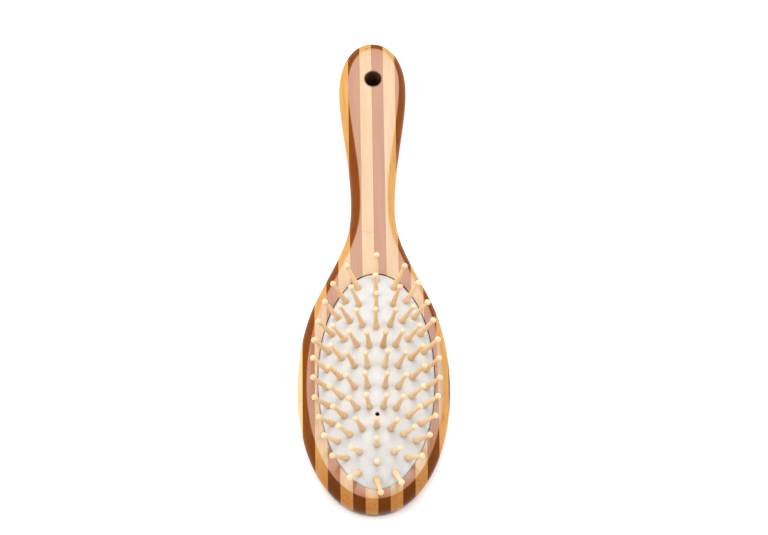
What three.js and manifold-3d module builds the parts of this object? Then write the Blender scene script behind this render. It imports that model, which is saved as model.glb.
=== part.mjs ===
import * as THREE from "three";
import Module from "manifold-3d";

// Oval cushion hair brush, millimetres. +Z is up, pins up; the handle runs toward +Y.
const LENGTH = 218.6;
const HEAD_HALF_WIDTH = 31.4;
const TOE_REACH = 55.2;
const HEEL_REACH = 60.5;
const SHOULDER_Y = 41;
const SHOULDER_REACH = 22;
const NECK_Y = 84;
const NECK_HALF_WIDTH = 9.3;
const NECK_REACH = 15.5;
const GRIP_Y = 140;
const GRIP_HALF_WIDTH = 14.45;
const GRIP_REACH = [20.5, 15.5];
const BLUNT = { toe: 0.95, end: 0.93 };
const END_REACH = LENGTH - TOE_REACH - GRIP_Y;
const SEGMENTS = { toe: 14, heel: 8, curve: 10, end: 10 };
const CENTRE_Y = LENGTH / 2 - TOE_REACH;

// Board section: flat top and back faces with rounded flanks between them.
const THICKNESS = 14;
const WIDEST_Z = 8;
const TOP_INSET = { side: 3.45, toe: 4.1, end: 5 };
const TOP_BIAS = 0.5;
const BACK_INSET = 4.2;
const FLANK_LEVELS = [0, 1.2, 3.4, 6.4, 9.4, 11.6, 13, THICKNESS];

// Laminated bamboo: equal strips, light and dark in turn, set slightly askew.
const STRIP_PITCH = 5.04;
const STRIP_JOINT_X = 1.04;
const STRIP_SKEW = 0.0098;
const STRIPS = { first: -7, last: 5 };
const GLUE_GAP = 0.05;

const HANG_HOLE = { x: 0.25, y: 143.4, radius: 3.6, sides: 24 };

// Rubber cushion held by a bead in a groove of the pocket wall.
const PAD_CENTRE = { x: 1.05, y: 1.1 };
const PAD_HALF_WIDTH = 23.8;
const PAD_HALF_LENGTH = 48;
const PAD_SHORTENING = 0.014;
const PAD_RIM_Z = 13;
const PAD_RISE = 4.5;
const PAD_WALL = 1.25;
const BEAD_REACH = 1.1;
const BEAD_Z = [10.9, 12.2];
const POCKET_FLOOR_Z = 7;
const POCKET_GAP = 0.3;
const BEAD_GAP = 0.08;
const PAD_SIDES = 48;
const VENT = { x: 1.4, y: -15.8, radius: 0.95, sides: 10 };
const DOME_INSETS = [0, 1.6, 6.4, 12, 17.5, 22.6];

// Pins stand in concentric rings, each ring stated by its inset from the cushion's rim.
const RINGS = [
  { name: "outer", pins: 26, inset: 3.6, lean: 27, toe: 19, heel: 12 },
  { name: "second", pins: 20, inset: 9.2, lean: 22, toe: -2, heel: -7 },
  { name: "third", pins: 14, inset: 14.8, lean: 14, toe: -3, heel: -7 },
  { name: "inner", pins: 10, inset: 20.2, lean: 5, toe: 6, heel: 4 },
];
const PIN = { base: 1.45, neck: 0.72, length: 12.3, sides: 8 };
const LEAN_POWER = 6;

// The ball, as (distance past the pin's length, radius).
const BALL = [
  [-1, PIN.neck],
  [-0.3, 1.25],
  [0.5, 1.25],
  [1.2, 0.5],
];
const PIN_HOLE = { radius: 1.74, sides: 6, span: [-4, 3] };
const RAIL = { drop: 2.4, width: 3.2, height: 1, overhang: 1.6 };
const FOOT_DEPTH = 2;

// Cutters run past the faces they cut, and faces flat to within this are merged.
const OVERSHOOT = 2;
const FLATNESS = 0.015;

const LIGHT_BAMBOO = [0.86, 0.64, 0.4];
const DARK_BAMBOO = [0.47, 0.26, 0.13];
const RUBBER = [0.88, 0.87, 0.85];
const PIN_WOOD = [0.87, 0.66, 0.42];

const wasm = await Module();
wasm.setup();
const { Manifold } = wasm;
const TURN = 2 * Math.PI;

function ellipseArc(y, halfWidth, reach) {
  return halfWidth * Math.sqrt(Math.max(0, 1 - (y / reach) ** 2));
}

// A point on an end slightly blunter than an ellipse, at an angle from its widest place.
function bluntEnd(halfWidth, reach, angle, blunt) {
  return [halfWidth * Math.cos(angle) ** blunt, reach * Math.sin(angle) ** blunt];
}

function bezier(points, count) {
  const curve = new THREE.CubicBezierCurve(...points.map((p) => new THREE.Vector2(...p)));
  return curve.getPoints(count).slice(1);
}

// One side of the outline from the toe to the handle's end, as (half width, y).
function halfOutline() {
  const side = [];
  for (let k = 1; k <= SEGMENTS.toe; k += 1) {
    const a = (Math.PI / 2) * (1 - k / SEGMENTS.toe);
    side.push(bluntEnd(HEAD_HALF_WIDTH, -TOE_REACH, a, BLUNT.toe));
  }
  const last = Math.asin(SHOULDER_Y / HEEL_REACH);
  for (let k = 1; k <= SEGMENTS.heel; k += 1) {
    const a = (last * k) / SEGMENTS.heel;
    side.push([HEAD_HALF_WIDTH * Math.cos(a), HEEL_REACH * Math.sin(a)]);
  }
  const shoulder = ellipseArc(SHOULDER_Y, HEAD_HALF_WIDTH, HEEL_REACH);
  const slope = -((HEAD_HALF_WIDTH / HEEL_REACH) ** 2) * (SHOULDER_Y / shoulder);
  const flare = [
    [shoulder, SHOULDER_Y],
    [shoulder + slope * SHOULDER_REACH, SHOULDER_Y + SHOULDER_REACH],
    [NECK_HALF_WIDTH, NECK_Y - NECK_REACH],
    [NECK_HALF_WIDTH, NECK_Y],
  ];
  const grip = [
    [NECK_HALF_WIDTH, NECK_Y],
    [NECK_HALF_WIDTH, NECK_Y + GRIP_REACH[0]],
    [GRIP_HALF_WIDTH, GRIP_Y - GRIP_REACH[1]],
    [GRIP_HALF_WIDTH, GRIP_Y],
  ];
  side.push(...bezier(flare, SEGMENTS.curve), ...bezier(grip, SEGMENTS.curve));
  for (let k = 1; k < SEGMENTS.end; k += 1) {
    const a = ((Math.PI / 2) * k) / SEGMENTS.end;
    const [x, y] = bluntEnd(GRIP_HALF_WIDTH, END_REACH, a, BLUNT.end);
    side.push([x, GRIP_Y + y]);
  }
  return side;
}

function outline() {
  const side = halfOutline();
  const left = side.map(([w, y]) => [-w, y]).reverse();
  return [[0, -TOE_REACH], ...side, [0, LENGTH - TOE_REACH], ...left];
}

// A closed skin over rings of equal size, with a flat cap on the first and the last.
function loft(rings) {
  const count = rings[0].length;
  const points = [];
  const faces = [];
  rings.forEach((ring) => points.push(...ring));
  for (let r = 0; r + 1 < rings.length; r += 1) {
    for (let k = 0; k < count; k += 1) {
      const a = r * count + k;
      const b = r * count + ((k + 1) % count);
      faces.push([a, b, b + count], [a, b + count, a + count]);
    }
  }
  for (const [ring, flip] of [[0, true], [rings.length - 1, false]]) {
    const flat = rings[ring].map((p) => new THREE.Vector2(p[0], p[1]));
    for (const [a, b, c] of THREE.ShapeUtils.triangulateShape(flat, [])) {
      const face = [a, b, c].map((k) => k + ring * count);
      faces.push(flip ? face.reverse() : face);
    }
  }
  return solid(points, faces);
}

function solid(points, faces) {
  const mesh = new wasm.Mesh({
    numProp: 3,
    vertProperties: new Float32Array(points.flat()),
    triVerts: new Uint32Array(faces.flat()),
  });
  mesh.merge();
  return new Manifold(mesh);
}

function board() {
  const edge = outline();
  const count = edge.length;
  const normals = edge.map((p, k) => {
    const [ax, ay] = edge[(k + count - 1) % count];
    const [bx, by] = edge[(k + 1) % count];
    return new THREE.Vector2(by - ay, ax - bx).normalize();
  });
  const ring = (z) =>
    edge.map(([x, y], k) => {
      const inset = flankInset(z, topInset(y, normals[k].x));
      return [x - normals[k].x * inset, y - normals[k].y * inset, z];
    });
  return loft(FLANK_LEVELS.map(ring));
}

// The rounding of the top edge grows toward both ends and is fuller on the left side.
function topInset(y, facing) {
  const toe = Math.max(0, -y / TOE_REACH) ** 2;
  const end = Math.max(0, (y - GRIP_Y) / END_REACH) ** 2;
  const { side } = TOP_INSET;
  return side + (TOP_INSET.toe - side) * toe + (TOP_INSET.end - side) * end - TOP_BIAS * facing;
}

function flankInset(z, top) {
  const above = z > WIDEST_Z;
  const rise = above ? THICKNESS - WIDEST_Z : WIDEST_Z;
  const inset = above ? top : BACK_INSET;
  const radius = (inset ** 2 + rise ** 2) / (2 * inset);
  return radius - Math.sqrt(radius ** 2 - (z - WIDEST_Z) ** 2);
}

// Half axes of the cushion at an inset from its rim: the long one shortens a little faster.
function padReach(inset) {
  const shortening = 1 + PAD_SHORTENING * Math.max(0, inset);
  return [PAD_HALF_WIDTH - inset, PAD_HALF_LENGTH - inset * shortening];
}

function padRing(inset, z, count) {
  const [a, b] = padReach(inset);
  const ring = [];
  for (let k = 0; k < count; k += 1) {
    const t = (TURN * (k + 0.5)) / count;
    ring.push([PAD_CENTRE.x + a * Math.cos(t), PAD_CENTRE.y + b * Math.sin(t), z]);
  }
  return ring;
}

function domeHeight(inset) {
  const radius = (PAD_HALF_WIDTH ** 2 + PAD_RISE ** 2) / (2 * PAD_RISE);
  return Math.sqrt(radius ** 2 - (PAD_HALF_WIDTH - inset) ** 2) - (radius - PAD_RISE);
}

function pocket() {
  const wall = [POCKET_FLOOR_Z, THICKNESS + OVERSHOOT].map((z) => padRing(-POCKET_GAP, z, PAD_SIDES));
  const groove = [BEAD_Z[0] - BEAD_GAP, BEAD_Z[1] + BEAD_GAP];
  const grooveReach = -POCKET_GAP - BEAD_REACH - BEAD_GAP;
  return loft(wall).add(loft(groove.map((z) => padRing(grooveReach, z, PAD_SIDES))));
}

function pad(pins) {
  const upper = DOME_INSETS.map((d) => padRing(d, PAD_RIM_Z + domeHeight(d), PAD_SIDES));
  const bead = -POCKET_GAP - BEAD_REACH;
  const skin = [
    padRing(0, BEAD_Z[0], PAD_SIDES),
    padRing(bead, BEAD_Z[0], PAD_SIDES),
    padRing(bead, BEAD_Z[1], PAD_SIDES),
    padRing(0, BEAD_Z[1], PAD_SIDES),
    ...upper,
  ];
  const hollow = DOME_INSETS.slice(1).map((d) =>
    padRing(d, PAD_RIM_Z - PAD_WALL + domeHeight(d), PAD_SIDES),
  );
  const lip = padRing(PAD_WALL, PAD_RIM_Z - PAD_WALL + domeHeight(PAD_WALL), PAD_SIDES);
  const inner = loft([padRing(PAD_WALL, BEAD_Z[0] - OVERSHOOT, PAD_SIDES), lip, ...hollow]);
  const ventCut = [0, PAD_RIM_Z + 2 * PAD_RISE].map((z) => [z, VENT.radius]);
  const vent = rod([VENT.x, VENT.y, 0], [0, 0, 1], ventCut, VENT.sides);
  const holeCut = PIN_HOLE.span.map((along) => [along, PIN_HOLE.radius]);
  const holes = pins.map((p) => rod(p.foot, p.axis, holeCut, PIN_HOLE.sides));
  return loft(skin).subtract(Manifold.union([inner, vent, ...holes]));
}

// A turned shape along an axis: sections are (distance along the axis, radius).
function rod(foot, axis, sections, sides) {
  const turn = new THREE.Quaternion();
  turn.setFromUnitVectors(new THREE.Vector3(0, 0, 1), new THREE.Vector3(...axis));
  const rings = sections.map(([along, radius]) => {
    const ring = [];
    for (let k = 0; k < sides; k += 1) {
      const t = (TURN * k) / sides;
      const p = new THREE.Vector3(radius * Math.cos(t), radius * Math.sin(t), along);
      ring.push(p.applyQuaternion(turn).add(new THREE.Vector3(...foot)).toArray());
    }
    return ring;
  });
  return fan(rings, sides);
}

function fan(rings, sides) {
  const points = rings.flat();
  const faces = [];
  const last = (rings.length - 1) * sides;
  for (let r = 0; r + 1 < rings.length; r += 1) {
    for (let k = 0; k < sides; k += 1) {
      const a = r * sides + k;
      const b = r * sides + ((k + 1) % sides);
      faces.push([a, b, b + sides], [a, b + sides, a + sides]);
    }
  }
  for (let k = 1; k + 1 < sides; k += 1) {
    faces.push([0, k + 1, k], [last, last + k, last + k + 1]);
  }
  return solid(points, faces);
}

// Pins are spaced evenly along their ring, the first on the long axis at the heel.
function ringPins(ring) {
  const [a, b] = padReach(ring.inset);
  const footZ = PAD_RIM_Z + domeHeight(ring.inset);
  const steps = 2000;
  const along = [0];
  for (let k = 1; k <= steps; k += 1) {
    const t = (TURN * (k - 0.5)) / steps;
    along.push(along[k - 1] + (Math.hypot(a * Math.cos(t), b * Math.sin(t)) * TURN) / steps);
  }
  const pins = [];
  for (let n = 0; n < ring.pins; n += 1) {
    const target = (along[steps] * n) / ring.pins;
    const t = (TURN * along.findIndex((s) => s >= target - 1e-9)) / steps;
    const x = -a * Math.sin(t);
    const y = b * Math.cos(t);
    const out = new THREE.Vector2(x / a ** 2, y / b ** 2).normalize();
    const end = y / b;
    const extra = (end < 0 ? ring.toe : ring.heel) * end ** LEAN_POWER;
    const lean = THREE.MathUtils.degToRad(ring.lean + extra);
    const axis = [out.x * Math.sin(lean), out.y * Math.sin(lean), Math.cos(lean)];
    pins.push({ foot: [x + PAD_CENTRE.x, y + PAD_CENTRE.y, footZ], axis });
  }
  return pins;
}

function pin(p, railZ) {
  const down = (p.foot[2] - railZ) / p.axis[2];
  const taper = (PIN.base - PIN.neck) / PIN.length;
  const foot = [-down, PIN.base + taper * (down - FOOT_DEPTH)];
  const ball = BALL.map(([past, radius]) => [PIN.length + past, radius]);
  return rod(p.foot, p.axis, [foot, ...ball], PIN.sides);
}

// Two neighbouring pins joined by the rail that holds their heads under the cushion.
function pinPair(first, second) {
  const railZ = first.foot[2] - RAIL.drop - RAIL.height / 2;
  const ends = [first, second].map((p) => {
    const down = (p.foot[2] - railZ) / p.axis[2];
    return new THREE.Vector2(p.foot[0] - p.axis[0] * down, p.foot[1] - p.axis[1] * down);
  });
  const span = ends[1].clone().sub(ends[0]);
  const size = [span.length() + 2 * RAIL.overhang, RAIL.width, RAIL.height];
  const middle = ends[0].clone().add(ends[1]).multiplyScalar(0.5);
  const turn = THREE.MathUtils.radToDeg(Math.atan2(span.y, span.x));
  const rail = Manifold.cube(size, true).rotate([0, 0, turn]).translate([middle.x, middle.y, railZ]);
  return Manifold.union([rail, pin(first, railZ), pin(second, railZ)]);
}

function stripBox(index) {
  const low = STRIP_JOINT_X + STRIP_PITCH * index + GLUE_GAP / 2;
  const pitches = index === STRIPS.last ? 2 : 1;
  const width = STRIP_PITCH * pitches - GLUE_GAP;
  const box = Manifold.cube([width, 2 * LENGTH, 4 * THICKNESS]).translate([low, -LENGTH, -THICKNESS]);
  return box.rotate([0, 0, THREE.MathUtils.radToDeg(STRIP_SKEW)]);
}

function material(colour, roughness) {
  const made = new THREE.MeshStandardMaterial({ roughness, metalness: 0 });
  made.color.setRGB(...colour, THREE.SRGBColorSpace);
  return made;
}

const brush = new THREE.Group();
brush.name = "cushion_brush";

function add(name, body, look) {
  const mesh = body.translate([0, -CENTRE_Y, 0]).simplify(FLATNESS).getMesh();
  const geometry = new THREE.BufferGeometry();
  geometry.setAttribute("position", new THREE.BufferAttribute(mesh.vertProperties, 3));
  geometry.setIndex(new THREE.BufferAttribute(mesh.triVerts, 1));
  geometry.computeVertexNormals();
  const part = new THREE.Mesh(geometry, look);
  part.name = name;
  brush.add(part);
}

const light = material(LIGHT_BAMBOO, 0.35);
const dark = material(DARK_BAMBOO, 0.35);
const rubber = material(RUBBER, 0.6);
const pinWood = material(PIN_WOOD, 0.5);

const hangCut = [-OVERSHOOT, THICKNESS + OVERSHOOT].map((z) => [z, HANG_HOLE.radius]);
const hang = rod([HANG_HOLE.x, HANG_HOLE.y, 0], [0, 0, 1], hangCut, HANG_HOLE.sides);
const blank = board().subtract(pocket()).subtract(hang);
let number = 0;
for (let index = STRIPS.first; index <= STRIPS.last; index += 1) {
  const look = index % 2 === 0 ? dark : light;
  const pieces = blank.intersect(stripBox(index)).decompose();
  pieces.sort((p, q) => q.volume() - p.volume());
  number += 1;
  add(`strip_${String(number).padStart(2, "0")}`, pieces[0], look);
  for (const sliver of pieces.slice(1)) {
    const side = index < 0 ? "left" : "right";
    add(`grip_sliver_${side}`, sliver, look);
  }
}

const rings = RINGS.map((ring) => ({ ...ring, placed: ringPins(ring) }));
add("cushion", pad(rings.flatMap((ring) => ring.placed)), rubber);
for (const ring of rings) {
  for (let n = 0; n < ring.pins; n += 2) {
    const label = String(n / 2 + 1).padStart(2, "0");
    add(`pins_${ring.name}_${label}`, pinPair(ring.placed[n], ring.placed[n + 1]), pinWood);
  }
}

export default brush;
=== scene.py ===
"""Looks for the oval bamboo cushion brush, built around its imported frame.

Lengths are in millimetres about the head's centre until place() turns them into the frame's metres.
"""

import math
import bmesh
import bpy
import numpy as np
from mathutils import Matrix, Vector


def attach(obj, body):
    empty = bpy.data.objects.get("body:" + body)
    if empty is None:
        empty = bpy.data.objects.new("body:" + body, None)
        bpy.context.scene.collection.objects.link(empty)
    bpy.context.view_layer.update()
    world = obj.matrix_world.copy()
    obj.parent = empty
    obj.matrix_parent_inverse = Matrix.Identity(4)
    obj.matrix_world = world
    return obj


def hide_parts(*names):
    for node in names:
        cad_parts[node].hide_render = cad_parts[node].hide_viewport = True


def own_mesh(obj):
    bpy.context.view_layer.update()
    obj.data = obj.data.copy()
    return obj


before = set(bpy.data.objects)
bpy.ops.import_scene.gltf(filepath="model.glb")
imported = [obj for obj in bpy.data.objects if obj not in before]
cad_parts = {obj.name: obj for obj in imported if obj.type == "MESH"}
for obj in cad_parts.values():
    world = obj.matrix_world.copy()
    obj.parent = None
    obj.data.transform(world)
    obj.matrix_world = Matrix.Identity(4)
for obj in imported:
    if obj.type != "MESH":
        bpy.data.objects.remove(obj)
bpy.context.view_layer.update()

# The board, with the same outline and flanks as the frame's.
LENGTH = 218.6
TOE_REACH = 55.2
HEEL_REACH = 60.5
HEAD_HALF_WIDTH = 31.4
SHOULDER_Y = 41
SHOULDER_REACH = 22
NECK_Y = 84
NECK_HALF_WIDTH = 9.3
NECK_REACH = 15.5
GRIP_Y = 140
GRIP_HALF_WIDTH = 14.45
GRIP_REACH = (20.5, 15.5)
BLUNT_TOE, BLUNT_END = 0.95, 0.93
THICKNESS = 14
WIDEST_Z = 8
TOP_INSET_SIDE, TOP_INSET_TOE, TOP_INSET_END = 3.45, 4.1, 5
TOP_BIAS = 0.5
BACK_INSET = 4.2
END_REACH = LENGTH - TOE_REACH - GRIP_Y
CENTRE_Y = LENGTH / 2 - TOE_REACH
FACE_SOFTENING = 0.16
SEGMENTS = {"toe": 60, "head": 30, "shoulder": 40, "grip": 40, "end": 36}
FLANK_LEVELS = 26

# The glued laminas, numbered from the joint nearest the middle.
STRIP_PITCH = 5.04
STRIP_JOINT_X = 1.04
STRIP_SKEW = 0.0098
FIRST_STRIP, LAST_STRIP = -7, 5
GLUE_GAP = 0.012

HOLE_X, HOLE_Y, HOLE_RADIUS = 0.3, 143.4, 3.5
HOLE_FLARE = 0.15
HOLE_SIDES = 72

# The cushion, its pocket with the groove for its bead, and its vent.
PAD_X, PAD_Y = 1.05, 1.1
PAD_HALF_WIDTH = 23.8
PAD_HALF_LENGTH = 48
PAD_SHORTENING = 0.014
PAD_RIM_Z = 13
PAD_RISE = 4.5
RIM_LIFT = 0.4
PAD_WALL = 1.25
POCKET_FLOOR_Z = 7
POCKET_GAP = 0.3
BEAD_REACH = 1.1
BEAD_Z = (10.9, 12.2)
BEAD_GAP = 0.08
BEAD_ROUND = 0.28
POCKET_CHAMFER = 0.1
VENT_X, VENT_Y, VENT_RADIUS = 1.4, -15.8, 0.95
# The rubber is drawn down round each pin, and dips in a ring round the vent.
PIN_DIP = {"depth": 0.34, "reach": 1.9}
VENT_DIP = {"depth": 0.25, "reach": 1.1, "radius": 0.2}
DOME_SIDES, POCKET_SIDES, VENT_SIDES = 360, 240, 40

# Pins: name, count, inset from the cushion's rim, lean, extra lean at the toe and at the heel.
RINGS = (
    ("outer", 26, 3.6, 27, 19, 12),
    ("second", 20, 9.2, 22, -2, -7),
    ("third", 14, 14.8, 14, -3, -7),
    ("inner", 10, 20.2, 5, 6, 4),
)
LEAN_POWER = 6
PIN_LENGTH = 12.3
PIN_LENGTH_SPREAD = 0.12
PIN_LEAN_SPREAD = 0.017
# A pin's profile: the wide head under the rubber, the foot, the neck and the ball.
HEAD_Z = (-2.6, -2.0)
HEAD_RADIUS, FOOT_RADIUS, NECK_RADIUS, BALL_RADIUS = 2.0, 1.31, 0.72, 1.25
HEAD_EDGE = 0.1
NECK_BELOW_BALL = 1.55
TAPER_POWER = 1.15
BALL_BASE_RADIUS = 0.86
BALL_POLE_ANGLE = 0.16
TAPER_STEPS, BALL_STEPS, PIN_SIDES = 12, 10, 28
BROWNED_PIN = ("inner", 9)
# Pins that stand plainly askew, by ring and place in it, with the push on their axis in x and y.
ASKEW = {
    ("outer", 12): (0.13, 0),
    ("outer", 13): (0.13, -0.04),
    ("outer", 14): (-0.22, -0.17),
    ("second", 11): (-0.11, -0.03),
}

rng = np.random.default_rng(11)
MM = 0.001


def place(points):
    """Millimetres about the head's centre to metres in the frame."""
    p = np.asarray(points, float)
    return (p + [0, -CENTRE_Y, 0]) * MM


def new_object(name, points, faces, sharp=None):
    mesh = bpy.data.meshes.new(name)
    mesh.from_pydata([tuple(p) for p in points], [], [tuple(f) for f in faces])
    mesh.validate()
    mesh.shade_smooth()
    if sharp is not None:
        mesh.set_sharp_from_angle(angle=math.radians(sharp))
    obj = bpy.data.objects.new(name, mesh)
    bpy.context.scene.collection.objects.link(obj)
    return obj


def skin(rings, closed=True):
    """Quads between rings of equal size, with a cap on each end if closed."""
    count = len(rings[0])
    points = np.concatenate(rings)
    faces = []
    for r in range(len(rings) - 1):
        for k in range(count):
            a, b = r * count + k, r * count + (k + 1) % count
            faces.append((a, b, b + count, a + count))
    if closed:
        last = (len(rings) - 1) * count
        faces.append(tuple(range(count - 1, -1, -1)))
        faces.append(tuple(range(last, last + count)))
    return points, faces


def boolean(base, tool, operation):
    """The mesh that is left when the tool is taken from, or kept of, the base."""
    mod = base.modifiers.new("cut", "BOOLEAN")
    mod.operation = operation
    mod.object = tool
    mod.solver = "MANIFOLD"
    bpy.context.view_layer.update()
    graph = bpy.context.evaluated_depsgraph_get()
    made = bpy.data.meshes.new_from_object(base.evaluated_get(graph))
    base.modifiers.remove(mod)
    return made


def discard(*objects):
    for obj in objects:
        bpy.data.objects.remove(obj)


# ---------------------------------------------------------------- outline and board


def bezier(p, count):
    """Points along a cubic curve, without its first."""
    t = np.linspace(0, 1, count + 1)[1:, None]
    p = np.asarray(p, float)
    return (1 - t) ** 3 * p[0] + 3 * (1 - t) ** 2 * t * p[1] + 3 * (1 - t) * t**2 * p[2] + t**3 * p[3]


def arc(half_width, reach, start, end, count, power=1.0):
    """Points along part of an ellipse, without the first; a power under 1 makes it blunter."""
    a = np.linspace(start, end, count + 1)[1:]
    c, s = np.cos(a), np.sin(a)
    x = half_width * np.maximum(c, 0) ** power
    return np.stack([x, reach * np.sign(s) * np.abs(s) ** power], axis=1)


def outline():
    """The widest outline, counter-clockwise from the toe's tip: arcs at head and end, curves between."""
    quarter = math.pi / 2
    last = math.asin(SHOULDER_Y / HEEL_REACH)
    shoulder = HEAD_HALF_WIDTH * math.cos(last)
    slope = -((HEAD_HALF_WIDTH / HEEL_REACH) ** 2) * SHOULDER_Y / shoulder
    flare = (
        (shoulder, SHOULDER_Y),
        (shoulder + slope * SHOULDER_REACH, SHOULDER_Y + SHOULDER_REACH),
        (NECK_HALF_WIDTH, NECK_Y - NECK_REACH),
        (NECK_HALF_WIDTH, NECK_Y),
    )
    grip = (
        (NECK_HALF_WIDTH, NECK_Y),
        (NECK_HALF_WIDTH, NECK_Y + GRIP_REACH[0]),
        (GRIP_HALF_WIDTH, GRIP_Y - GRIP_REACH[1]),
        (GRIP_HALF_WIDTH, GRIP_Y),
    )
    end = arc(GRIP_HALF_WIDTH, END_REACH, 0, quarter, SEGMENTS["end"], BLUNT_END)
    side = np.concatenate(
        [
            arc(HEAD_HALF_WIDTH, TOE_REACH, -quarter, 0, SEGMENTS["toe"], BLUNT_TOE),
            arc(HEAD_HALF_WIDTH, HEEL_REACH, 0, last, SEGMENTS["head"]),
            bezier(flare, SEGMENTS["shoulder"]),
            bezier(grip, SEGMENTS["grip"]),
            end[:-1] + [0, GRIP_Y],
        ]
    )
    tips = [[0, -TOE_REACH]], [[0, LENGTH - TOE_REACH]]
    return np.concatenate([tips[0], side, tips[1], side[::-1] * [-1, 1]])


def top_inset(y, facing):
    """The rounding of the top edge grows toward both ends and is fuller on the left side."""
    toe = np.maximum(0, -y / TOE_REACH) ** 2
    end = np.maximum(0, (y - GRIP_Y) / END_REACH) ** 2
    inset = TOP_INSET_SIDE + (TOP_INSET_TOE - TOP_INSET_SIDE) * toe
    return inset + (TOP_INSET_END - TOP_INSET_SIDE) * end - TOP_BIAS * facing


def flank_inset(z, top):
    """How far the flank stands in from its widest level, along one arc above it and another below it."""
    rise = THICKNESS - WIDEST_Z if z > WIDEST_Z else WIDEST_Z
    inset = top if z > WIDEST_Z else BACK_INSET
    radius = (inset**2 + rise**2) / (2 * inset)
    return radius - np.sqrt(radius**2 - (z - WIDEST_Z) ** 2)


def board_blank():
    """The whole board in one piece, before it is cut into laminas."""
    edge = outline()
    ahead, behind = np.roll(edge, -1, axis=0), np.roll(edge, 1, axis=0)
    way = ahead - behind
    normal = np.stack([way[:, 1], -way[:, 0]], axis=1)
    normal /= np.linalg.norm(normal, axis=1)[:, None]
    flanks = np.linspace(0.4, THICKNESS - 0.4, FLANK_LEVELS)
    heights = np.concatenate([[0, 0.1], flanks, [THICKNESS - 0.1, THICKNESS]])
    top = top_inset(edge[:, 1], normal[:, 0])
    rings = []
    for z in heights:
        inset = flank_inset(z, top) + (FACE_SOFTENING if z in (0, THICKNESS) else 0)
        flat = edge - normal * np.reshape(inset, (-1, 1))
        rings.append(np.column_stack([flat, np.full(len(edge), z)]))
    points, faces = skin(rings)
    return new_object("blank", place(points), faces)


def pad_reach(inset):
    """Half axes of the cushion at an inset from its rim: the long one shortens a little faster."""
    return PAD_HALF_WIDTH - inset, PAD_HALF_LENGTH - inset * (1 + PAD_SHORTENING * np.maximum(0, inset))


def pad_ring(inset, z, count=POCKET_SIDES):
    """One level ring at an inset from the cushion's rim."""
    t = 2 * math.pi * (np.arange(count) + 0.5) / count
    a, b = pad_reach(inset)
    return np.column_stack([PAD_X + a * np.cos(t), PAD_Y + b * np.sin(t), np.full(count, z)])


def pocket_tool():
    """The hollow under the cushion, with a groove for its bead and a chamfered mouth."""
    wall = -POCKET_GAP
    groove = wall - BEAD_REACH - BEAD_GAP
    steps = (
        (wall, POCKET_FLOOR_Z),
        (wall, BEAD_Z[0] - BEAD_GAP),
        (groove, BEAD_Z[0] - BEAD_GAP),
        (groove, BEAD_Z[1] + BEAD_GAP),
        (wall, BEAD_Z[1] + BEAD_GAP),
        (wall, THICKNESS - POCKET_CHAMFER),
        (wall - POCKET_CHAMFER, THICKNESS),
        (wall - POCKET_CHAMFER, THICKNESS + 2),
    )
    points, faces = skin([pad_ring(inset, z) for inset, z in steps])
    return new_object("pocket_tool", place(points), faces)


def turned(sections, sides):
    """Rings of a shape turned about Z, from (z, radius) sections."""
    t = 2 * math.pi * np.arange(sides) / sides
    return [np.column_stack([r * np.cos(t), r * np.sin(t), np.full(sides, z)]) for z, r in sections]


def hole_tool():
    """The hanging hole, flared a little where it meets each flat face."""
    half = [
        (-2, HOLE_RADIUS + HOLE_FLARE),
        (0, HOLE_RADIUS + HOLE_FLARE),
        (0.05, HOLE_RADIUS + 0.06),
        (0.15, HOLE_RADIUS),
    ]
    steps = half + [(THICKNESS - z, radius) for z, radius in half[::-1]]
    points, faces = skin(turned(steps, HOLE_SIDES))
    return new_object("hole_tool", place(points + [HOLE_X, HOLE_Y, 0]), faces)


def strip_tool(index):
    """A block over one lamina; the last one reaches past the next joint to the head's right edge."""
    low = STRIP_JOINT_X + STRIP_PITCH * index + GLUE_GAP / 2
    high = low + STRIP_PITCH * (2 if index == LAST_STRIP else 1) - GLUE_GAP
    corners = [[low, -LENGTH], [high, -LENGTH], [high, LENGTH], [low, LENGTH]]
    c, s = math.cos(STRIP_SKEW), math.sin(STRIP_SKEW)
    flat = np.array([[x * c - y * s, x * s + y * c] for x, y in corners])
    rings = [np.column_stack([flat, np.full(4, z)]) for z in (-THICKNESS, 2 * THICKNESS)]
    points, faces = skin(rings)
    return new_object("strip_tool", place(points), faces)


def islands(mesh):
    """The separate bodies of a mesh, largest first, each as (points, faces)."""
    bm = bmesh.new()
    bm.from_mesh(mesh)
    left = set(bm.verts)
    found = []
    while left:
        stack, group = [left.pop()], set()
        while stack:
            v = stack.pop()
            group.add(v)
            for e in v.link_edges:
                w = e.other_vert(v)
                if w in left:
                    left.remove(w)
                    stack.append(w)
        members = [v for v in bm.verts if v in group]
        order = {v: k for k, v in enumerate(members)}
        points = [tuple(v.co) for v in members]
        faces = [tuple(order[v] for v in f.verts) for f in bm.faces if f.verts[0] in group]
        found.append((points, faces))
    bm.free()
    return sorted(found, key=lambda f: -len(f[0]))


# ---------------------------------------------------------------- materials


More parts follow.
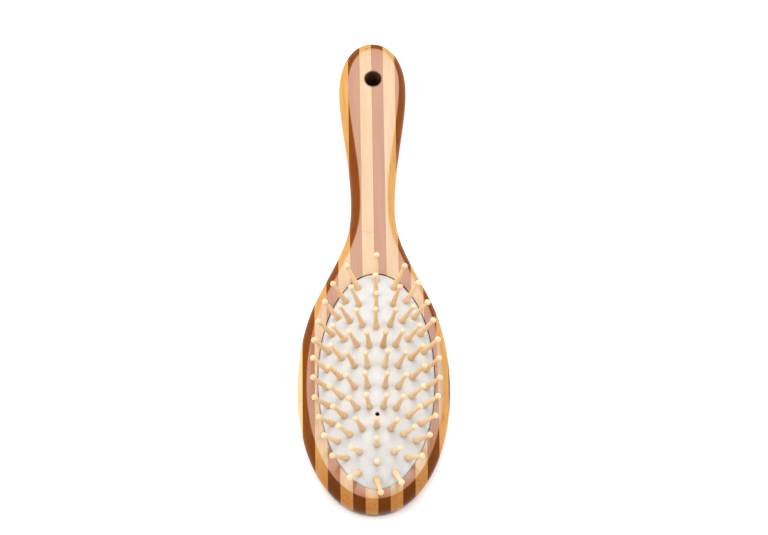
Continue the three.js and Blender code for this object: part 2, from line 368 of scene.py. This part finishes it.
class Nodes:
    """A short way to write a node tree."""

    def __init__(self, name):
        self.material = bpy.data.materials.new(name)
        self.material.use_nodes = True
        self.tree = self.material.node_tree
        self.shader = self.tree.nodes["Principled BSDF"]

    def add(self, kind, inputs=None, **settings):
        node = self.tree.nodes.new(kind)
        for key, value in settings.items():
            setattr(node, key, value)
        for key, value in (inputs or {}).items():
            self.set(node.inputs[key], value)
        return node

    def set(self, socket, value):
        if isinstance(value, bpy.types.NodeSocket):
            self.tree.links.new(value, socket)
        else:
            socket.default_value = value

    def math(self, operation, a, b=0.0, clamp=False):
        node = self.add("ShaderNodeMath", {0: a, 1: b}, operation=operation)
        node.use_clamp = clamp
        return node.outputs[0]

    def mix(self, factor, a, b, blend="MIX"):
        node = self.add("ShaderNodeMix", data_type="RGBA", blend_type=blend)
        self.set(node.inputs["Factor"], factor)
        for key, value in (("A", a), ("B", b)):
            socket = [s for s in node.inputs if s.name == key and s.type == "RGBA"][0]
            if not isinstance(value, bpy.types.NodeSocket):
                value = (*value, 1)
            self.set(socket, value)
        return [s for s in node.outputs if s.type == "RGBA"][0]

    def ramp(self, value, low, high, to_low=0.0, to_high=1.0):
        node = self.add("ShaderNodeMapRange", {"Value": value})
        node.clamp = True
        for key, v in (("From Min", low), ("From Max", high), ("To Min", to_low), ("To Max", to_high)):
            node.inputs[key].default_value = v
        return node.outputs[0]

    def axis(self, name):
        coords = self.object_coordinates()
        return self.add("ShaderNodeSeparateXYZ", {0: coords}).outputs[name]

    def object_coordinates(self, scale=(1, 1, 1), offset=(0, 0, 0)):
        coords = self.add("ShaderNodeTexCoord").outputs["Object"]
        mapping = self.add("ShaderNodeMapping", {"Vector": coords, "Scale": scale, "Location": offset})
        return mapping.outputs[0]

    def noise(self, vector, scale, detail, rough):
        inputs = {"Vector": vector, "Scale": scale, "Detail": detail, "Roughness": rough}
        return self.add("ShaderNodeTexNoise", inputs).outputs["Fac"]

    def bump(self, height, distance, strength, normal=None):
        inputs = {"Height": height, "Distance": distance, "Strength": strength}
        if normal is not None:
            inputs["Normal"] = normal
        return self.add("ShaderNodeBump", inputs).outputs[0]


BAMBOO = {
    "light": {
        "pale": (0.530, 0.345, 0.187),
        "deep": (0.415, 0.250, 0.118),
        "fibre": (0.250, 0.120, 0.042),
    },
    "dark": {
        "pale": (0.342, 0.138, 0.054),
        "deep": (0.272, 0.097, 0.033),
        "fibre": (0.120, 0.034, 0.010),
    },
}
# Factors on the colour of the moulded flanks, and a second one on the toe's flanks, for their end grain and
# for painted shade where they face away from the key light.
MOULDED = {"light": (1.13, 0.92, 0.53), "dark": (0.60, 0.40, 0.14)}
TOE_GRAIN_AND_SHADE = {"light": (0.76, 0.63, 0.55), "dark": (0.66, 0.70, 0.90)}
TOE_GRAIN_AND_SHADE_FADE = (12, 34)
SCORCH = (0.100, 0.050, 0.028)
BROWNED_WOOD = (0.09, 0.035, 0.012)
# The scorch reaches a little further along the fibres.
SCORCH_STRETCH = 0.93
# The lamina at the head's left edge is made paler, with this share of a straw colour.
STRAW = (0.72, 0.59, 0.32)
STRAW_SHARE = {"strip_01": 0.6}
# The right edge of the head just reaches the next dark lamina, which shows as a sliver past this x.
SLIVER = (0.150, 0.050, 0.016)
SLIVER_PAST = {"strip_13": 30.7}
# Each lamina's knot: the first one's y, the step from one to the next, and the length they spread over.
KNOT_FIRST, KNOT_STEP, KNOT_SPAN = -45, 37.7, 150

RUBBER = ((0.545, 0.548, 0.540), (0.580, 0.582, 0.574))
RIB_PITCH = 0.66
RIB_SHADE = (0.38, 0.375, 0.365)
DUST = (0.35, 0.33, 0.3)

# Pin wood, pale and deep; each pin has one of the three looks, and one pin is browned.
PIN_TONES = (
    ((0.81, 0.60, 0.35), (0.73, 0.50, 0.27)),
    ((0.83, 0.63, 0.38), (0.76, 0.53, 0.30)),
    ((0.78, 0.56, 0.31), (0.70, 0.46, 0.23)),
)
BROWNED_TONE = ((0.70, 0.44, 0.20), (0.60, 0.34, 0.13))
PIN_FIBRE = (0.36, 0.17, 0.06)
# Painted highlight: the paler colour that the top of each ball takes, where light from above falls on it.
PIN_BALL_HIGHLIGHT = (0.78, 0.56, 0.40)
PIN_FOOT = (0.42, 0.2, 0.07)
LATHE_PITCH = 0.45


def fibres(n, seed):
    """One lamina's patterns: broad tone, streaks, fine grain and bundles, which are dots on end grain."""
    shift = (seed * 0.137, seed * 0.071, seed * 0.213)
    along = n.object_coordinates((1, 0.035, 1), shift)
    broad = n.noise(n.object_coordinates((1, 0.12, 1), shift), 210, 3, 0.55)
    streak = n.noise(along, 1300, 4, 0.6)
    fine = n.noise(along, 4200, 2, 0.5)
    voronoi = n.add("ShaderNodeTexVoronoi", {"Vector": along, "Scale": 1250, "Randomness": 1.0})
    bundle = n.ramp(voronoi.outputs["Distance"], 0.12, 0.34, 1, 0)
    patches = n.noise(n.object_coordinates((1, 0.5, 1), shift), 120, 2, 0.5)
    return broad, streak, fine, n.math("MULTIPLY", bundle, n.ramp(patches, 0.38, 0.62))


def flat_faces(n):
    """1 on the sanded flat faces and 0 on the moulded flanks."""
    z = n.axis("Z")
    above = n.ramp(z, (THICKNESS - 0.12) * MM, (THICKNESS - 0.04) * MM)
    below = n.ramp(z, 0.04 * MM, 0.12 * MM, 1, 0)
    return n.math("MAXIMUM", above, below)


def knot(n, seed, broad, streak):
    """A knot crosses the lamina once: a thin dark line with a darker, disturbed band beside it."""
    at = (KNOT_FIRST + (seed * KNOT_STEP) % KNOT_SPAN - CENTRE_Y) * MM
    wobble = n.math("MULTIPLY", n.math("SUBTRACT", broad, 0.5), 4 * MM)
    off = n.math("ABSOLUTE", n.math("ADD", n.math("SUBTRACT", n.axis("Y"), at), wobble))
    line = n.ramp(off, 0.12 * MM, 0.5 * MM, 0.16, 0)
    band = n.math("MULTIPLY", n.ramp(off, 0.4 * MM, 4.2 * MM, 0.12, 0), n.ramp(streak, 0.35, 0.65))
    return n.math("ADD", line, band, clamp=True)


def hole_distance(n, fine):
    """Distance from the hanging hole's middle, ragged by the fine grain."""
    dx = n.math("SUBTRACT", n.axis("X"), HOLE_X * MM)
    dy = n.math("SUBTRACT", n.axis("Y"), (HOLE_Y - CENTRE_Y) * MM)
    dy = n.math("MULTIPLY", dy, SCORCH_STRETCH)
    away = n.math("SQRT", n.math("ADD", n.math("MULTIPLY", dx, dx), n.math("MULTIPLY", dy, dy)))
    return n.math("ADD", away, n.math("MULTIPLY", n.math("SUBTRACT", fine, 0.5), 0.5 * MM))


def bamboo(name, tone, seed, straw, sliver_past):
    """One lamina: pale polished faces, deeper flanks, a toe darkened for end grain and painted shade, a
    knot and a scorched hanging hole.
    """
    n = Nodes(name)
    colours = BAMBOO[tone]
    broad, streak, fine, bundle = fibres(n, seed)
    flat = flat_faces(n)
    moulded = n.math("SUBTRACT", 1.0, flat)

    colour = n.mix(n.ramp(broad, 0.33, 0.67, 0.15, 0.75), colours["pale"], colours["deep"])
    colour = n.mix(n.math("MULTIPLY", n.ramp(streak, 0.42, 0.72), 0.5), colour, colours["deep"])
    depth = n.math("ADD", 0.4, n.math("MULTIPLY", moulded, 0.5))
    colour = n.mix(n.math("MULTIPLY", bundle, depth), colour, colours["fibre"])
    colour = n.mix(moulded, colour, n.mix(1.0, colour, MOULDED[tone], "MULTIPLY"))

    if straw:
        colour = n.mix(straw, colour, STRAW)
    if sliver_past:
        past = n.ramp(n.axis("X"), (sliver_past - 0.03) * MM, (sliver_past + 0.03) * MM)
        colour = n.mix(past, colour, SLIVER)

    # The toe cuts the fibres across. Its flanks are made darker, partly for end grain that takes up more of
    # the finish and partly as painted shade where they face away from the key light.
    near, far = ((-TOE_REACH - CENTRE_Y + fade) * MM for fade in TOE_GRAIN_AND_SHADE_FADE)
    toe_grain_and_shade = n.math("MULTIPLY", moulded, n.ramp(n.axis("Y"), near, far, 1, 0))
    colour = n.mix(toe_grain_and_shade, colour, n.mix(1.0, colour, TOE_GRAIN_AND_SHADE[tone], "MULTIPLY"))
    colour = n.mix(knot(n, seed, broad, streak), colour, colours["fibre"])

    # The drilled hanging hole is scorched, and the heat has browned its rim.
    away = hole_distance(n, fine)
    char = n.ramp(away, (HOLE_RADIUS + 0.08) * MM, (HOLE_RADIUS + 0.3) * MM, 1, 0)
    brown = n.ramp(away, (HOLE_RADIUS + 0.2) * MM, (HOLE_RADIUS + 0.8) * MM, 0.6, 0)
    colour = n.mix(brown, colour, BROWNED_WOOD)
    colour = n.mix(n.math("MULTIPLY", char, 0.97), colour, SCORCH)

    n.set(n.shader.inputs["Base Color"], colour)
    rough = n.ramp(streak, 0.3, 0.75, 0.24, 0.36)
    n.set(n.shader.inputs["Roughness"], n.math("ADD", rough, n.math("MULTIPLY", char, 0.4)))
    relief = n.math("ADD", n.math("MULTIPLY", fine, 0.4), n.math("MULTIPLY", streak, 0.6))
    relief = n.math("SUBTRACT", relief, n.math("MULTIPLY", bundle, 0.6))
    n.set(n.shader.inputs["Normal"], n.bump(relief, 0.03 * MM, 0.5))
    n.set(n.shader.inputs["Coat Weight"], n.math("MULTIPLY", flat, n.math("SUBTRACT", 1.0, char)))
    n.shader.inputs["Coat Roughness"].default_value = 0.22
    n.shader.inputs["Specular IOR Level"].default_value = 0.02
    return n.material


def rubber():
    """Off-white rubber with fine ribs along the brush, painted shade in the ribs' grooves, a little dust
    and softly uneven tone.
    """
    n = Nodes("cushion_rubber")
    coords = n.object_coordinates()
    cloud = n.noise(coords, 90, 3, 0.55)
    speck = n.noise(coords, 1500, 2, 0.6)
    sway = n.math("MULTIPLY", n.math("SUBTRACT", n.noise(coords, 60, 1, 0.5), 0.5), 0.2 * MM)
    phase = n.math("MULTIPLY", n.math("ADD", n.axis("X"), sway), 2 * math.pi / (RIB_PITCH * MM))
    rib = n.math("ADD", n.math("MULTIPLY", n.math("SINE", phase), 0.5), 0.5)
    colour = n.mix(n.ramp(cloud, 0.3, 0.7), *RUBBER)
    # Painted shade darkens the grooves between the ribs.
    colour = n.mix(n.math("MULTIPLY", n.ramp(rib, 0, 0.55, 1, 0), 0.16), colour, RIB_SHADE)
    colour = n.mix(n.math("MULTIPLY", n.ramp(speck, 0.62, 0.75), 0.1), colour, DUST)
    n.set(n.shader.inputs["Base Color"], colour)
    n.set(n.shader.inputs["Roughness"], n.ramp(speck, 0.3, 0.7, 0.42, 0.54))
    normal = n.bump(rib, 0.05 * MM, 0.55)
    n.set(n.shader.inputs["Normal"], n.bump(speck, 0.03 * MM, 0.25, normal))
    n.shader.inputs["Specular IOR Level"].default_value = 0.5
    n.shader.inputs["Subsurface Weight"].default_value = 0.12
    n.shader.inputs["Subsurface Radius"].default_value = (1.0, 0.9, 0.8)
    n.shader.inputs["Subsurface Scale"].default_value = 1.5 * MM
    return n.material


def pin_wood(name, seed, pale, deep):
    """Turned hardwood: grain along the pin, faint lathe rings, a ball made paler by a painted highlight
    from above, and a browner foot.
    """
    n = Nodes(name)
    shift = (seed * 0.31, seed * 0.17, seed * 0.05)
    along = n.object_coordinates((1, 1, 0.07), shift)
    grain = n.noise(along, 2600, 3, 0.6)
    fine = n.noise(along, 7000, 2, 0.5)
    z = n.axis("Z")
    lathe = n.math("SINE", n.math("MULTIPLY", z, 2 * math.pi / (LATHE_PITCH * MM)))
    colour = n.mix(n.ramp(grain, 0.3, 0.7), pale, deep)
    colour = n.mix(n.math("MULTIPLY", n.ramp(fine, 0.58, 0.72), 0.3), colour, PIN_FIBRE)
    # Painted highlight: the ball is made paler toward its top, where light from above falls on it.
    ball_highlight = n.ramp(z, 9.8 * MM, 11.8 * MM)
    colour = n.mix(n.math("MULTIPLY", ball_highlight, 0.35), colour, PIN_BALL_HIGHLIGHT)
    foot = n.ramp(z, 0.2 * MM, 2.2 * MM, 0.3, 0)
    colour = n.mix(foot, colour, PIN_FOOT)
    n.set(n.shader.inputs["Base Color"], colour)
    n.set(n.shader.inputs["Roughness"], n.ramp(grain, 0.3, 0.7, 0.3, 0.42))
    height = n.math("ADD", grain, n.math("MULTIPLY", lathe, 0.12))
    n.set(n.shader.inputs["Normal"], n.bump(height, 0.04 * MM, 0.5))
    n.shader.inputs["Specular IOR Level"].default_value = 0.3
    return n.material


# ---------------------------------------------------------------- pieces


def build_strips():
    """The laminas, cut from one board; the grip's slivers are the smaller part of a lamina in two parts."""
    blank = board_blank()
    pocket, hole = pocket_tool(), hole_tool()
    blank.data = boolean(blank, pocket, "DIFFERENCE")
    blank.data = boolean(blank, hole, "DIFFERENCE")
    for number, index in enumerate(range(FIRST_STRIP, LAST_STRIP + 1), 1):
        tone = "dark" if index % 2 == 0 else "light"
        tool = strip_tool(index)
        parts = islands(boolean(blank, tool, "INTERSECT"))
        discard(tool)
        for k, (points, faces) in enumerate(parts):
            side = "left" if index < 0 else "right"
            node = f"grip_sliver_{side}" if k else f"strip_{number:02d}"
            piece = new_object(f"bamboo_{node}", points, faces, sharp=22)
            straw, sliver = STRAW_SHARE.get(node, 0), SLIVER_PAST.get(node)
            look = bamboo(f"bamboo_{node}", tone, number + 20 * k, straw, sliver)
            piece.data.materials.append(look)
            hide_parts(node)
            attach(piece, "board")
    discard(blank, pocket, hole)


def inset_at(x, y):
    """The inset whose ring passes through each (x, y) from the cushion's centre, found by halving."""
    low, high = np.zeros_like(x), np.full_like(x, PAD_HALF_WIDTH - 1e-4)
    for _ in range(40):
        mid = (low + high) / 2
        a, b = pad_reach(mid)
        inside = (x / a) ** 2 + (y / b) ** 2 < 1
        low, high = np.where(inside, mid, low), np.where(inside, high, mid)
    return low


def dome_height(inset):
    """The cushion's height over its rim at an inset from it, as a spherical cap across the short axis."""
    radius = (PAD_HALF_WIDTH**2 + PAD_RISE**2) / (2 * PAD_RISE)
    return np.sqrt(radius**2 - (PAD_HALF_WIDTH - inset) ** 2) - (radius - PAD_RISE)


def ring_pins(count, inset, lean, toe, heel):
    """(foot, axis) of each pin of a ring, spaced evenly along it from the long axis at the heel."""
    a, b = pad_reach(inset)
    z = PAD_RIM_Z + float(dome_height(inset))
    t = np.linspace(0, 2 * math.pi, 4001)
    step = np.hypot(a * np.cos((t[1:] + t[:-1]) / 2), b * np.sin((t[1:] + t[:-1]) / 2))
    along = np.concatenate([[0], np.cumsum(step)])
    at = np.interp(np.arange(count) * along[-1] / count, along, t)
    pins = []
    for s in at:
        x, y = -a * math.sin(s), b * math.cos(s)
        out = Vector((x / a**2, y / b**2)).normalized()
        end = y / b
        angle = math.radians(lean + (toe if end < 0 else heel) * end**LEAN_POWER)
        axis = Vector((out.x * math.sin(angle), out.y * math.sin(angle), math.cos(angle)))
        pins.append((Vector((PAD_X + x, PAD_Y + y, z)), axis))
    return pins


def dome_ring(share, drop, feet):
    """A ring of the rubber at a share of the cushion's half axes, drawn down round pins and vent."""
    t = 2 * math.pi * (np.arange(DOME_SIDES) + 0.5) / DOME_SIDES
    x, y = PAD_HALF_WIDTH * share * np.cos(t), PAD_HALF_LENGTH * share * np.sin(t)
    height = dome_height(inset_at(x, y))
    z = PAD_RIM_Z + height + RIM_LIFT * (1 - height / PAD_RISE) - drop
    x, y = x + PAD_X, y + PAD_Y
    near = np.hypot(x[:, None] - feet[:, 0], y[:, None] - feet[:, 1])
    z = z - (PIN_DIP["depth"] * np.exp(-((near / PIN_DIP["reach"]) ** 2))).sum(1)
    off = np.hypot(x - VENT_X, y - VENT_Y) - VENT_DIP["radius"]
    z = z - VENT_DIP["depth"] * np.exp(-((off / VENT_DIP["reach"]) ** 2))
    return np.column_stack([x, y, z])


def cushion_dome(feet):
    """The domed rubber skin with its rounded rim, its underside and a real vent."""
    inner, outer = np.linspace(0.02, 0.94, 62), np.linspace(0.95, 1, 9)
    top = [dome_ring(share, 0, feet) for share in (*inner, *outer)]
    edge = ((-0.2, PAD_RIM_Z - 0.1), (-0.14, PAD_RIM_Z + 0.3))
    rim = [pad_ring(inset, z, DOME_SIDES) for inset, z in edge]
    under = [pad_ring(PAD_WALL, PAD_RIM_Z - 0.02, DOME_SIDES)]
    under += [dome_ring(share, PAD_WALL, feet) for share in inner[::-1]]
    points, faces = skin(under[::-1] + rim + top[::-1])
    dome = new_object("cushion_dome", place(points), faces)
    bm = bmesh.new()
    bm.from_mesh(dome.data)
    bmesh.ops.recalc_face_normals(bm, faces=bm.faces)
    bm.to_mesh(dome.data)
    bm.free()
    points, faces = skin(turned([(0, VENT_RADIUS), (60, VENT_RADIUS)], VENT_SIDES))
    vent = new_object("vent_tool", place(points + [VENT_X, VENT_Y, 0]), faces)
    dome.data = boolean(dome, vent, "DIFFERENCE")
    dome.data.set_sharp_from_angle(angle=math.radians(50))
    discard(vent)
    return dome


def cushion_bead():
    """The wall under the rim, with the bead that holds the cushion in the groove of its pocket."""
    bead = -POCKET_GAP - BEAD_REACH
    steps = (
        (PAD_WALL, BEAD_Z[0]),
        (bead + BEAD_ROUND, BEAD_Z[0]),
        (bead, BEAD_Z[0] + BEAD_ROUND),
        (bead, BEAD_Z[1] - BEAD_ROUND),
        (bead + BEAD_ROUND, BEAD_Z[1]),
        (0.1, BEAD_Z[1]),
        (0.02, BEAD_Z[1] + 0.2),
        (0.02, PAD_RIM_Z - 0.12),
        (PAD_WALL, PAD_RIM_Z - 0.12),
    )
    rings = [pad_ring(inset, z) for inset, z in steps]
    points, faces = skin(rings + [rings[0]], closed=False)
    return new_object("cushion_bead", place(points), faces, sharp=50)


def build_cushion(pins, look):
    """The rubber's two pieces, riding on the board; the dome gets a mesh of its own."""
    dome = cushion_dome(np.array([foot[:2] for foot, axis in pins]))
    for piece in (dome, cushion_bead()):
        piece.data.materials.clear()
        piece.data.materials.append(look)
        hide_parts("cushion")
        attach(piece, "board")
    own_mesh(dome)


def pin_profile(length):
    """(distance along the pin, radius) from its hidden head to the top of its ball, centred at length."""
    low, high = HEAD_Z
    sections = [
        (low, HEAD_RADIUS - HEAD_EDGE),
        (low + HEAD_EDGE, HEAD_RADIUS),
        (high - HEAD_EDGE, HEAD_RADIUS),
        (high, HEAD_RADIUS - HEAD_EDGE),
        (high + 0.05, FOOT_RADIUS + 0.05),
        (0, FOOT_RADIUS),
    ]
    for share in np.linspace(0, 1, TAPER_STEPS + 1)[1:]:
        radius = NECK_RADIUS + (FOOT_RADIUS - NECK_RADIUS) * (1 - share) ** TAPER_POWER
        sections.append(((length - NECK_BELOW_BALL) * share, radius))
    sections += [(length - 1.25, NECK_RADIUS + 0.01), (length - 1.08, NECK_RADIUS + 0.06)]
    base = math.pi - math.asin(BALL_BASE_RADIUS / BALL_RADIUS)
    for a in np.linspace(base, BALL_POLE_ANGLE, BALL_STEPS + 1):
        sections.append((length + BALL_RADIUS * math.cos(a), BALL_RADIUS * math.sin(a)))
    return sections


def build_pin(name, foot, axis, push, look, node, body):
    """One pin, a little longer or shorter and leaning a little off its regular axis."""
    length = PIN_LENGTH + rng.uniform(-PIN_LENGTH_SPREAD, PIN_LENGTH_SPREAD)
    points, faces = skin(turned(pin_profile(length), PIN_SIDES))
    piece = new_object(name, points * MM, faces, sharp=40)
    tilt = Vector((*(rng.normal(0, PIN_LEAN_SPREAD, 2) + push), 0))
    way = (axis + tilt).normalized()
    turn = Vector((0, 0, 1)).rotation_difference(way).to_matrix().to_4x4()
    spin = Matrix.Rotation(rng.uniform(0, 2 * math.pi), 4, "Z")
    at = Vector(place(foot))
    piece.matrix_world = Matrix.Translation(at) @ turn @ spin
    piece.data.materials.append(look)
    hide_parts(node)
    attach(piece, body)


def build_pins():
    """The four rings of pins; returns the (foot, axis) of every pin."""
    looks = [pin_wood(f"pin_wood_{k + 1}", k, *tone) for k, tone in enumerate(PIN_TONES)]
    browned = pin_wood("pin_wood_browned", 7, *BROWNED_TONE)
    every = []
    for name, count, inset, lean, toe, heel in RINGS:
        placed = ring_pins(count, inset, lean, toe, heel)
        every += placed
        for k, (foot, axis) in enumerate(placed):
            node = f"pins_{name}_{k // 2 + 1:02d}"
            look = looks[int(rng.integers(len(looks)))]
            if (name, k) == BROWNED_PIN:
                look = browned
            push = ASKEW.get((name, k), (0, 0))
            build_pin(f"pin_{name}_{k + 1:02d}", foot, axis, push, look, node, f"{name}_ring")
    return every


# ---------------------------------------------------------------- stage, lights and camera

# Stage, lights and camera are in metres.
VIEW_ELEVATION = math.radians(63.5)
VIEW_YAW = math.radians(0.89)
VIEW_ROLL = math.radians(0.59)
VIEW_DISTANCE = 1.155
VIEW_TARGET = Vector((0.0045, -0.0019, 0.014))
LENS = 129.6
SENSOR_WIDTH = 36

PAPER = ((0.9, 0.9, 0.9), (0.92, 0.92, 0.92))
# Painted contact shadow: the near-black colour the paper takes where ambient occlusion finds the brush
# within this reach.
CONTACT_SHADOW = (0.03, 0.025, 0.02)
CONTACT_SHADOW_REACH = 0.005
PAPER_GLOW = 0.35
PAPER_REACH = 6
PAPER_Z = -0.0002
SKY_STRENGTH = 0.55
KEY_DISTANCE = 1.15
KEY_SIZE = (0.8, 0.8)
KEY_POWER = 9.4
# The other softboxes: name, place, size and power in watts.
FILLS = (
    ("left", (-0.9, -0.1, 0.8), (0.9, 0.9), 8),
    ("right", (0.9, -0.1, 0.8), (0.9, 0.9), 6),
    ("front", (-0.15, -0.85, 0.95), (1.1, 0.9), 1.5),
)


def view_way():
    """The direction in which the camera looks."""
    e, y = VIEW_ELEVATION, VIEW_YAW
    return Vector((math.sin(y) * math.cos(e), math.cos(y) * math.cos(e), -math.sin(e)))


def build_camera():
    way = view_way()
    right = Vector((math.cos(VIEW_YAW), -math.sin(VIEW_YAW), 0))
    up = right.cross(way)
    c, s = math.cos(VIEW_ROLL), math.sin(VIEW_ROLL)
    x, y = c * right + s * up, c * up - s * right
    data = bpy.data.cameras.new("camera")
    data.lens = LENS
    data.sensor_width = SENSOR_WIDTH
    data.clip_start = 0.05
    camera = bpy.data.objects.new("camera", data)
    bpy.context.scene.collection.objects.link(camera)
    turn = Matrix((x, y, -way)).transposed().to_4x4()
    camera.matrix_world = Matrix.Translation(VIEW_TARGET - VIEW_DISTANCE * way) @ turn
    bpy.context.scene.camera = camera


def softbox(name, at, size, power):
    """A rectangular light turned toward the brush."""
    data = bpy.data.lights.new(name, "AREA")
    data.shape = "RECTANGLE"
    data.size, data.size_y = size
    data.energy = power
    light = bpy.data.objects.new(name, data)
    bpy.context.scene.collection.objects.link(light)
    light.location = at
    light.rotation_euler = (-Vector(at)).to_track_quat("-Z", "Y").to_euler()


def paper():
    """White paper that glows a little where it is open, with a painted contact shadow where the brush
    touches it.
    """
    n = Nodes("paper")
    tone = n.noise(n.object_coordinates(), 8, 2, 0.5)
    near = n.add("ShaderNodeAmbientOcclusion", {"Distance": CONTACT_SHADOW_REACH}, samples=16).outputs["AO"]
    # Painted contact shadow: the paper turns near black where the brush is close, and its glow is held back
    # there too.
    unshadowed_floor = n.ramp(near, 0.39, 0.45)
    n.set(n.shader.inputs["Base Color"], n.mix(unshadowed_floor, CONTACT_SHADOW, n.mix(tone, *PAPER)))
    n.shader.inputs["Roughness"].default_value = 0.9
    n.shader.inputs["Specular IOR Level"].default_value = 0.1
    n.shader.inputs["Emission Color"].default_value = (1, 1, 1, 1)
    glow = n.math("MULTIPLY", n.math("MULTIPLY", near, unshadowed_floor), PAPER_GLOW)
    n.set(n.shader.inputs["Emission Strength"], glow)
    return n.material


def build_stage():
    r = PAPER_REACH
    floor = new_object("floor", [(-r, -r, 0), (r, -r, 0), (r, r, 0), (-r, r, 0)], [(0, 1, 2, 3)])
    floor.location.z = PAPER_Z
    floor.data.materials.append(paper())
    world = bpy.data.worlds.new("studio")
    world.use_nodes = True
    sky = world.node_tree.nodes["Background"]
    sky.inputs["Color"].default_value = (1, 1, 1, 1)
    sky.inputs["Strength"].default_value = SKY_STRENGTH
    bpy.context.scene.world = world
    # The key stands where the flat top face mirrors it to the camera.
    way = view_way()
    softbox("key", Vector((way.x, way.y, -way.z)) * KEY_DISTANCE, KEY_SIZE, KEY_POWER)
    for name, at, size, power in FILLS:
        softbox(name, at, size, power)
    bpy.context.scene.view_settings.view_transform = "Standard"


build_strips()
pins = build_pins()
build_cushion(pins, rubber())
build_stage()
build_camera()
